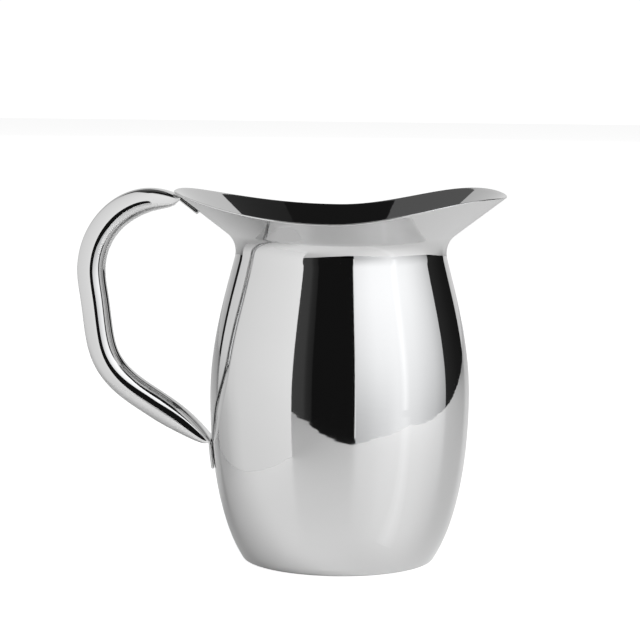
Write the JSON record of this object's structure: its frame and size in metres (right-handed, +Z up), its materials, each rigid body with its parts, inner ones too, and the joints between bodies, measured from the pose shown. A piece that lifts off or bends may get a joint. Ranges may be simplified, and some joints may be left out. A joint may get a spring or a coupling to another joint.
{
  "type": "water pitcher",
  "caption": "Polished steel bell pitcher: bulged body, narrow neck, flared mouth rising to a spout, and a bent tube handle welded on by flattened ends.",
  "frame": {"origin": "centre of the round base, on the surface that the pitcher stands on", "axes": "+Z up, +X towards the spout, -X towards the handle, +Y across"},
  "size_m": [0.2318, 0.151, 0.2],
  "materials": {
    "polished_body": "mirror-polished stainless steel sheet",
    "polished_handle": "mirror-polished stainless steel tube",
    "weld_metal": "plain resistance weld metal between the sheets"
  },
  "bodies": {
    "root": {"body_shell": "polished_body", "handle_tube": "polished_handle", "upper_spot_welds": "weld_metal", "lower_spot_welds": "weld_metal"}
  },
  "joints": []
}
